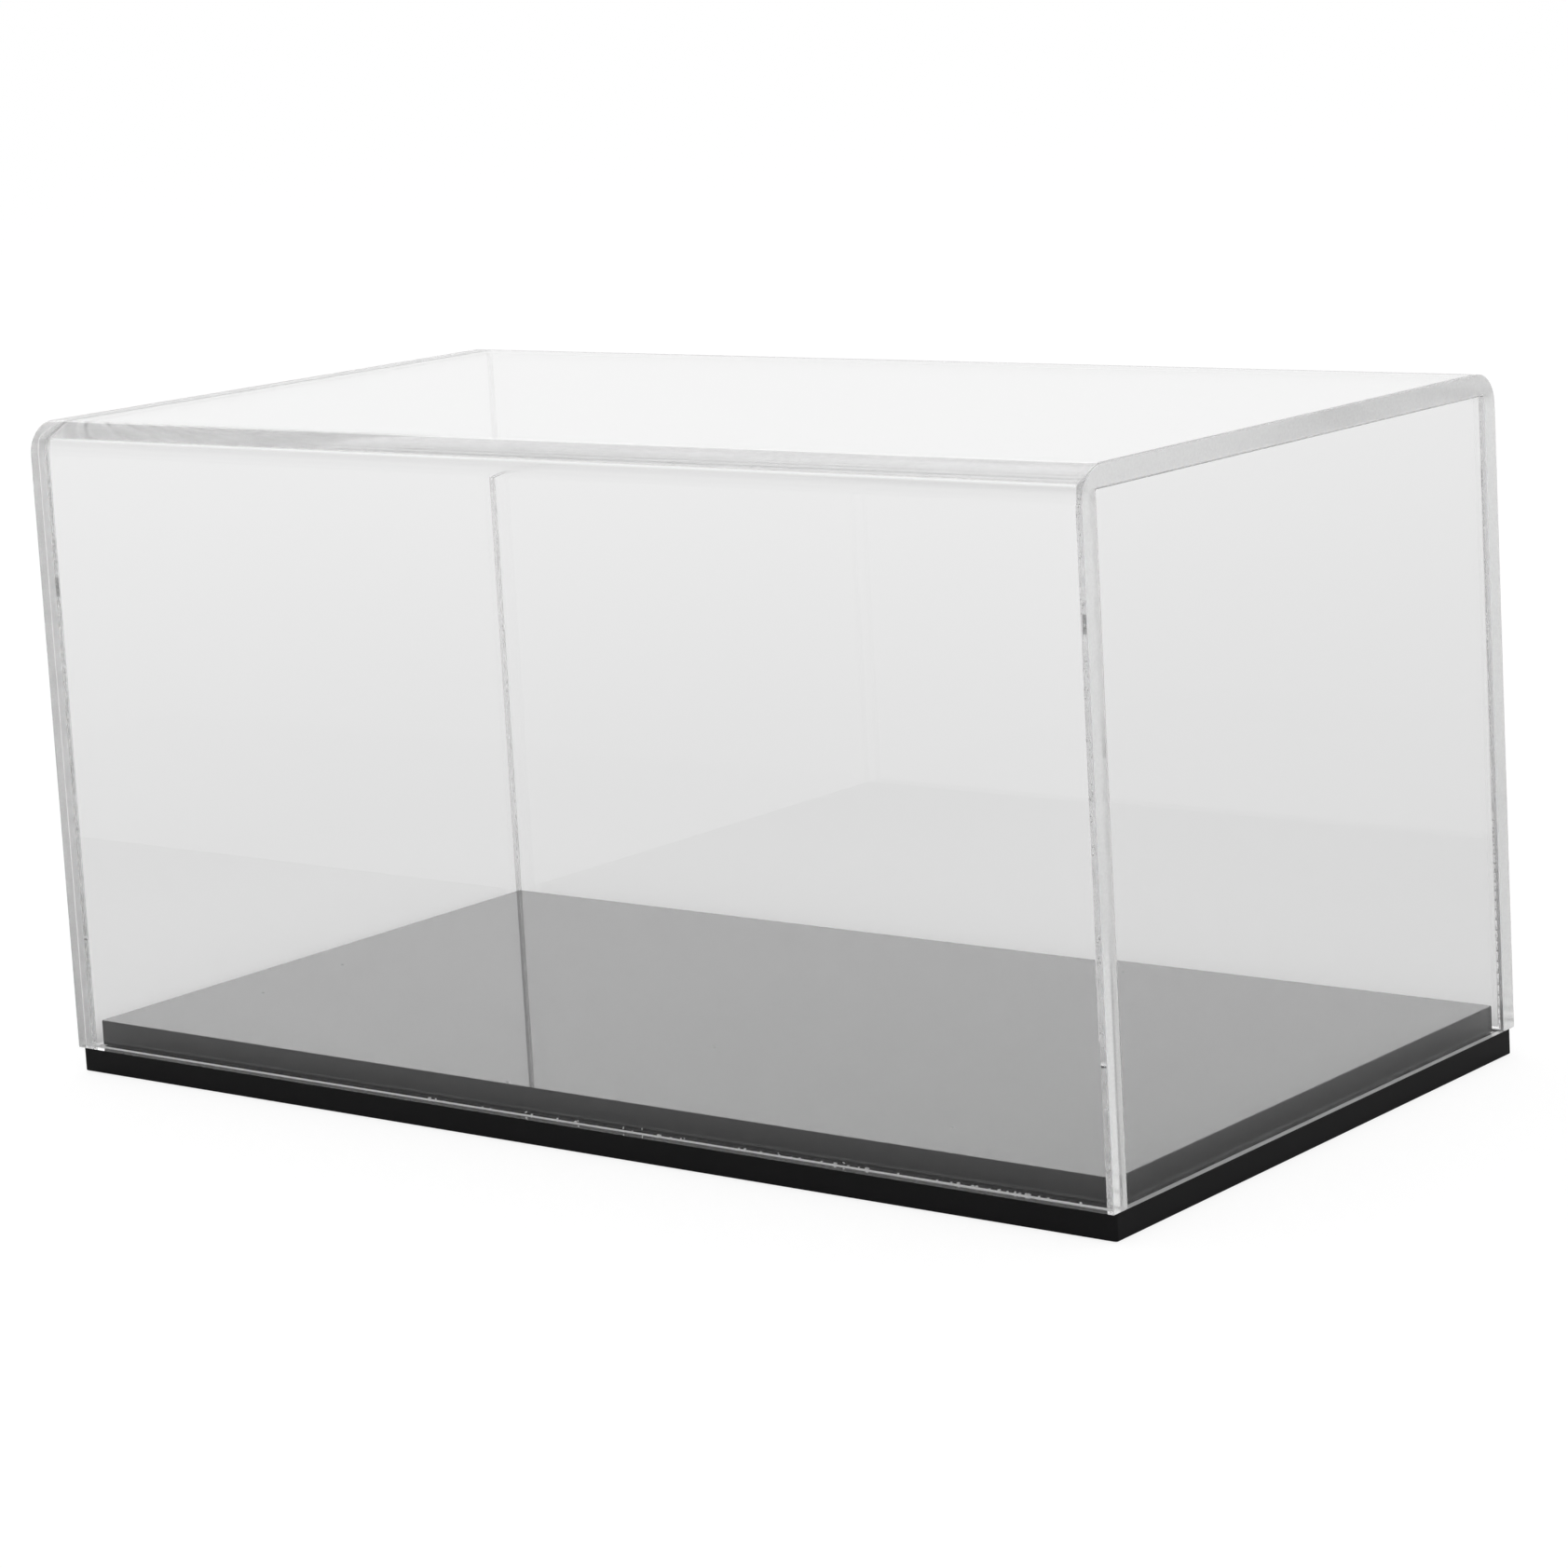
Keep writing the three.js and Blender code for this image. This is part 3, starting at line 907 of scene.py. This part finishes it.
def plate(name, node, easing, looks):
    low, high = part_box(node)
    outline = []
    for quarter in range(4):
        centre_x = (high[0] - PLATE_CORNER) * (1 if quarter in (0, 3) else -1)
        centre_y = (high[1] - PLATE_CORNER) * (1 if quarter in (0, 1) else -1)
        for step in range(CORNER_STEPS + 1):
            angle = math.pi / 2 * (quarter + step / CORNER_STEPS)
            outline.append((
                centre_x + PLATE_CORNER * math.cos(angle),
                centre_y + PLATE_CORNER * math.sin(angle)))
    bottom, top = [[(x, y, z) for x, y in outline] for z in (low[2], high[2])]
    made = slab(
        name, bottom, top, [PLATE_EDGE] * len(outline), looks, easing, PLATE_EASING_STEPS,
        PLATE_EDGE)
    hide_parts(node)
    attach(made, "base")


plate("lower_plate", "base_plate", PLATE_EASING, (black_face, black_edge))
plate("upper_plate", "plinth_plate", PLATE_EASING, (black_face, black_edge))
plate("tape_film", "plinth_bond", 0.0, (tape, tape))

# %% [markdown]
# Saw shavings. When the foot of the cover is trimmed, small slivers and
# crumbs of acrylic stay in the narrow channel between the front sheet and the
# upper plate. They could be set by hand one by one, but their real places are
# chance, so a few bowed slivers and many crumbs are scattered along a line,
# thicker towards the right, each with its own size and turn. The eye sees
# white specks against the black.

# %% Saw shavings in the front channel
SLIVERS = dict(count=7, seed=31, smallest=0.25 * MM, largest=0.60 * MM, squash=(1.5, 0.7, 0.6))
CRUMBS = dict(count=60, seed=9, smallest=0.08 * MM, largest=0.28 * MM, squash=(1.6, 0.9, 0.9))
# Drawn at a size of about one, and then scaled: a short arc and its round section.
SLIVER_ARC = {"Resolution": 9, "Radius": 0.9, "Sweep Angle": 1.1}
SLIVER_SECTION = {"Resolution": 6, "Radius": 0.24}
LEAST_TURN, MOST_TURN = (-0.2, -3.1, -0.25), (0.2, 3.1, 0.25)
UPRIGHT = (math.pi / 2, 0.0, 0.0)
CHANNEL_START_X, CHANNEL_END_X = -45 * MM, 119 * MM
CLEAR_OF_SHEET = 0.32 * MM
CLEAR_OF_PLATE = 0.03 * MM
# Below one, the power crowds the shavings towards the channel's end.
CROWDING = 0.55


def scattered(tree, size, shape, count, seed, smallest, largest, squash):
    order = add(tree, "GeometryNodeInputIndex")
    chance = add(tree, "FunctionNodeRandomValue", {"ID": order, "Seed": seed}, data_type="FLOAT")
    crowded = add(tree, MATH, {0: chance.outputs[1], 1: size["Crowding"]}, operation="POWER")
    along = add(tree, "ShaderNodeMix", {
        0: crowded, 4: size["Channel start"], 5: size["Channel end"]}, data_type="VECTOR")
    extent = add(tree, "FunctionNodeRandomValue", {
        2: smallest, 3: largest, "ID": order, "Seed": seed + 1}, data_type="FLOAT").outputs[1]
    lift = add(tree, "ShaderNodeCombineXYZ", {2: extent})
    resting = add(tree, VECTOR_MATH, {0: along.outputs[1], 1: lift}, operation="ADD")
    points = add(tree, "GeometryNodePoints", {"Count": count, "Position": resting})
    turn = add(tree, "FunctionNodeRandomValue", {
        0: LEAST_TURN, 1: MOST_TURN, "ID": order, "Seed": seed + 2}, data_type="FLOAT_VECTOR")
    upright = add(tree, "FunctionNodeRotateEuler", {"Rotation": turn, "Rotate By": UPRIGHT})
    scale = add(tree, VECTOR_MATH, {0: squash, "Scale": extent}, operation="SCALE")
    return add(tree, "GeometryNodeInstanceOnPoints", {
        "Points": points, "Instance": shape, "Rotation": upright, "Scale": scale})


def shavings_tree():
    tree, size = tree_with_inputs(
        "shavings in a channel", ["Channel start", "Channel end"], ["Crowding"])
    arc = add(tree, "GeometryNodeCurveArc", SLIVER_ARC, mode="RADIUS")
    round_section = add(tree, "GeometryNodeCurvePrimitiveCircle", SLIVER_SECTION, mode="RADIUS")
    sliver = add(tree, "GeometryNodeCurveToMesh", {
        "Curve": arc, "Profile Curve": round_section, "Fill Caps": True})
    crumb = add(tree, "GeometryNodeMeshIcoSphere", {"Radius": 1.0, "Subdivisions": 1})
    both = add(tree, "GeometryNodeJoinGeometry")
    for shape, values in ((sliver, SLIVERS), (crumb, CRUMBS)):
        some = scattered(tree, size, shape, **values)
        tree.links.new(some.outputs[0], both.inputs[0])
    return finish_tree(tree, both, shaving, ())


shaving = new_material(
    "acrylic_saw_shaving", cut_edge_surface, tint="#ffffff", roughness=0.35, milky=0.95,
    lets_in=0.45)
plate_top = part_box("base_plate")[1][2] + CLEAR_OF_PLATE
channel_y = -HALF_DEPTH + SHEET + CLEAR_OF_SHEET
saw_shavings = plain_mesh("saw_shavings", shavings_tree(), {
    "Channel start": (CHANNEL_START_X, channel_y, plate_top),
    "Channel end": (CHANNEL_END_X, channel_y, plate_top),
    "Crowding": CROWDING}, SMALL_SMOOTH_BELOW)
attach(saw_shavings, "base")

# %% [markdown]
# The studio. The case stands on a sheet of white paper that runs off in every
# direction. The camera sees the paper as pure white, with only a breath of
# shadow at the foot of the case. Rays that have passed through the cover see
# a painted shade: the paper's glow for them is a curve by the distance from
# the plate, paler far away and greyer close to the case, which is what turns
# the lower part of the walls grey. Rays mirrored by the outside see a painted
# shade too: the paper glows almost dark for them, which keeps the sides of
# the plates black.

# %% Floor
FLOOR_SIZE = 40.0
PAPER_BELOW = 0.2 * MM
PAPER_ALBEDO = 0.20
PAPER_GRAIN_PER_METRE = 400.0
PAPER_TONE = {"To Min": PAPER_ALBEDO * 0.97, "To Max": PAPER_ALBEDO * 1.03}
SEEN_BY_CAMERA = 0.84
# Painted shade: mirrored rays see the paper glow almost dark.
MIRRORED_PAINTED_SHADE = 0.03
SEEN_BY_SOFT_LIGHT = 0.45
# Painted shade: the paper's glow for rays through the cover, by the distance
# from the plate in metres, darker close to the case.
PAINTED_SHADE_THROUGH_COVER = (
    (0.00, 0.14), (0.007, 0.16), (0.014, 0.26), (0.020, 0.41), (0.026, 0.51),
    (0.036, 0.585), (0.16, 0.615), (0.40, 0.66), (0.75, 0.71), (1.00, 0.735))


def set_levels(curve_node, levels):
    """Draws a smooth curve through pairs of place and level, from 0 to 1."""
    curve = curve_node.mapping.curves[0]
    curve.points[0].location, curve.points[-1].location = levels[0], levels[-1]
    for place, level in levels[1:-1]:
        curve.points.new(place, level)
    curve_node.mapping.update()


def paper_surface(tree, place):
    path = add(tree, "ShaderNodeLightPath")
    quarter = add(tree, VECTOR_MATH, {0: place}, operation="ABSOLUTE")
    past = add(tree, VECTOR_MATH, {0: quarter, 1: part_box("base_plate")[1]}, operation="SUBTRACT")
    past = add(tree, VECTOR_MATH, {0: past, 1: (0.0, 0.0, 0.0)}, operation="MAXIMUM")
    away = add(tree, VECTOR_MATH, {0: past}, operation="LENGTH")
    # Painted shade: a glow that is darker close to the plate, for rays through the cover.
    through = add(tree, "ShaderNodeFloatCurve", {"Value": away.outputs["Value"]})
    set_levels(through, PAINTED_SHADE_THROUGH_COVER)
    glow = SEEN_BY_SOFT_LIGHT
    for ray, seen in (
            ("Is Glossy Ray", MIRRORED_PAINTED_SHADE), ("Is Transmission Ray", through),
            ("Is Camera Ray", SEEN_BY_CAMERA)):
        glow = add(tree, "ShaderNodeMix", {0: path.outputs[ray], 2: glow, 3: seen})
    paper_grain = add(tree, NOISE, {"Vector": place, "Scale": PAPER_GRAIN_PER_METRE, "Detail": 2.0})
    paper = add(tree, "ShaderNodeBsdfDiffuse", {
        "Color": grey_between(tree, paper_grain, PAPER_TONE)})
    light = add(tree, "ShaderNodeEmission", {"Strength": glow})
    return add(tree, "ShaderNodeAddShader", {0: paper, 1: light})


floor_mesh = bpy.data.meshes.new("paper")
reach = FLOOR_SIZE / 2
corners = [(x * reach, y * reach, 0.0) for x, y in ((-1, -1), (1, -1), (1, 1), (-1, 1))]
floor_mesh.from_pydata(corners, [], [(0, 1, 2, 3)])
floor_mesh.materials.append(new_material("white_paper_with_painted_shade", paper_surface))
floor = put_in_scene("paper", floor_mesh)
floor.location.z = -PAPER_BELOW

# %% [markdown]
# The room around it. Near the horizon it is nearly the white of the paper,
# above that it is a ring of soft boxes, up to 1.6 times as bright as white,
# which the black plate and the top sheet mirror at a low angle, and overhead
# it is the plain ceiling. The camera's side is dimmer, because the soft boxes
# stand beside and behind the case.

# %% Room
ROOM_PEAK = 2.0
UNLIT_SIDE = 0.65
# The room's direction along Y: dim below the first, fully lit above the second.
UNLIT_FROM, LIT_FROM = -0.7, -0.1
# Levels by the height of the direction, from the horizon to straight up.
ROOM = (
    (0.00, 0.46), (0.10, 0.465), (0.185, 0.49), (0.214, 0.68), (0.245, 0.755), (0.285, 0.79),
    (0.33, 0.60), (0.40, 0.44), (0.60, 0.41), (1.00, 0.42))


def room():
    world = bpy.data.worlds.new("studio_room")
    world.use_nodes = True
    tree = world.node_tree
    tree.nodes.clear()
    direction = add(tree, "ShaderNodeTexCoord").outputs["Generated"]
    height = add(tree, SEPARATE, {0: direction})
    ramp = add(tree, "ShaderNodeFloatCurve", {"Value": height.outputs[2]})
    set_levels(ramp, ROOM)
    unlit_side = add(tree, MAP_RANGE, {
        "Value": height.outputs[1], "From Min": UNLIT_FROM, "From Max": LIT_FROM,
        "To Min": UNLIT_SIDE}, interpolation_type="SMOOTHSTEP")
    dimmed = add(tree, MATH, {0: ramp, 1: unlit_side}, operation="MULTIPLY")
    level = add(tree, MATH, {0: dimmed, 1: ROOM_PEAK}, operation="MULTIPLY")
    path = add(tree, "ShaderNodeLightPath")
    strength = add(tree, "ShaderNodeMix", {0: path.outputs["Is Camera Ray"], 2: level, 3: 1.0})
    light = add(tree, "ShaderNodeBackground", {"Color": linear("#ffffff"), "Strength": strength})
    add(tree, "ShaderNodeOutputWorld", {"Surface": light})
    bpy.context.scene.world = world
    print("room with", len(ROOM), "levels")


room()

# %% [markdown]
# One broad lamp overhead gives the paper its soft shadow. The camera, mirrors
# and rays through the sheet don't see it, because the ring of soft boxes
# already gives the reflections.

# %% Lamp
LAMP_SIZE = (1.6, 1.2)
LAMP_WATTS = 6.0
LAMP_PLACE = (-0.3, -0.2, 1.6)
LAMP_AIM = (0.0, 0.0, 0.05)

lamp_data = bpy.data.lights.new("overhead_soft_box", "AREA")
lamp_data.shape = "RECTANGLE"
lamp_data.size, lamp_data.size_y = LAMP_SIZE
lamp_data.energy = LAMP_WATTS
lamp = put_in_scene("overhead_soft_box", lamp_data)
lamp.location = LAMP_PLACE
lamp.rotation_euler = (Vector(LAMP_AIM) - lamp.location).to_track_quat("-Z", "Y").to_euler()
lamp.visible_glossy = lamp.visible_transmission = lamp.visible_camera = False
print("lamp of", LAMP_WATTS, "W")
